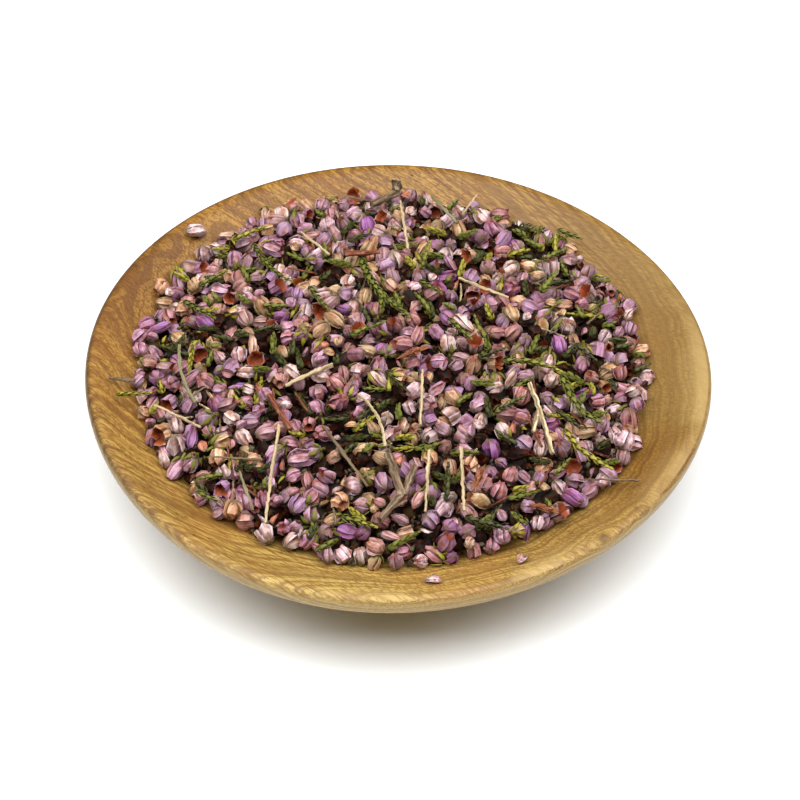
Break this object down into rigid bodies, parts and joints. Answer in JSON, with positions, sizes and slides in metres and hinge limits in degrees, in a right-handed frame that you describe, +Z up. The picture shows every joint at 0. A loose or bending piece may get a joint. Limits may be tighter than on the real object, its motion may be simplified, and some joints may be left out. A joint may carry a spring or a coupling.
{
  "type": "wooden bowl of dried heather flowers",
  "caption": "Shallow turned wooden bowl heaped with loose dried heather flowers, with leafy sprigs, straws, twigs and bark chips among them.",
  "frame": {"origin": "centre of the bowl's flat foot, on the surface that it stands on", "axes": "+Z up, +Y to the back of the bowl, away from the viewer, +X to the viewer's right"},
  "size_m": [0.1319, 0.1299, 0.0342],
  "materials": {
    "teak": "satin",
    "dried_flowers": "matte",
    "flower": "matte",
    "leaf": "matte",
    "straw": "satin",
    "bark": "matte"
  },
  "bodies": {
    "root": {"bowl": "teak", "heap": "dried_flowers", "sprig_centre_back": "leaf", "sprig_back_left": "leaf", "sprig_centre_short": "leaf", "sprig_back_upright": "leaf", "sprig_back_low": "leaf", "sprig_centre_right": "leaf", "sprig_left_back_long": "leaf", "sprig_left_back_pale": "leaf", "sprig_left": "leaf", "sprig_left_high": "leaf", "sprig_right_back": "leaf", "sprig_right_back_long": "leaf", "sprig_right_bushy": "leaf", "sprig_right_middle": "leaf", "sprig_right_dark": "leaf", "sprig_right_side": "leaf", "sprig_right_long": "leaf", "sprig_right_front_long": "leaf", "sprig_right_front_dark": "leaf", "sprig_right_front_low": "leaf", "sprig_centre_front_right": "leaf", "sprig_front_edge": "leaf", "sprig_centre": "leaf", "sprig_front_middle": "leaf", "sprig_front_bright": "leaf", "sprig_left_yellow": "leaf", "sprig_left_front_edge": "leaf", "sprig_left_wall": "leaf", "straw_back_upright": "straw", "straw_back_left": "straw", "straw_back_green": "straw", "straw_back_right": "straw", "straw_right_back": "straw", "straw_centre_thick": "straw", "straw_centre_bent": "straw", "straw_centre_upright": "straw", "straw_centre_grey": "straw", "straw_front_middle": "straw", "straw_front_right": "straw", "straw_left_pale": "straw", "straw_left_green": "straw", "straw_front_long": "straw", "straw_front_green": "straw", "straw_left_grey": "straw", "straw_right_thin": "straw", "straw_on_left_rim": "straw", "twig_forked": "bark", "twig_left_red": "bark", "twig_back_red": "bark", "twig_back_grey": "bark", "twig_right_forked": "straw", "bark_chip_orange": "bark", "bark_chip_centre": "bark", "bark_chip_right": "bark", "loose_petal_front": "flower", "loose_petal_right": "flower", "lone_flower": "flower"}
  },
  "joints": []
}
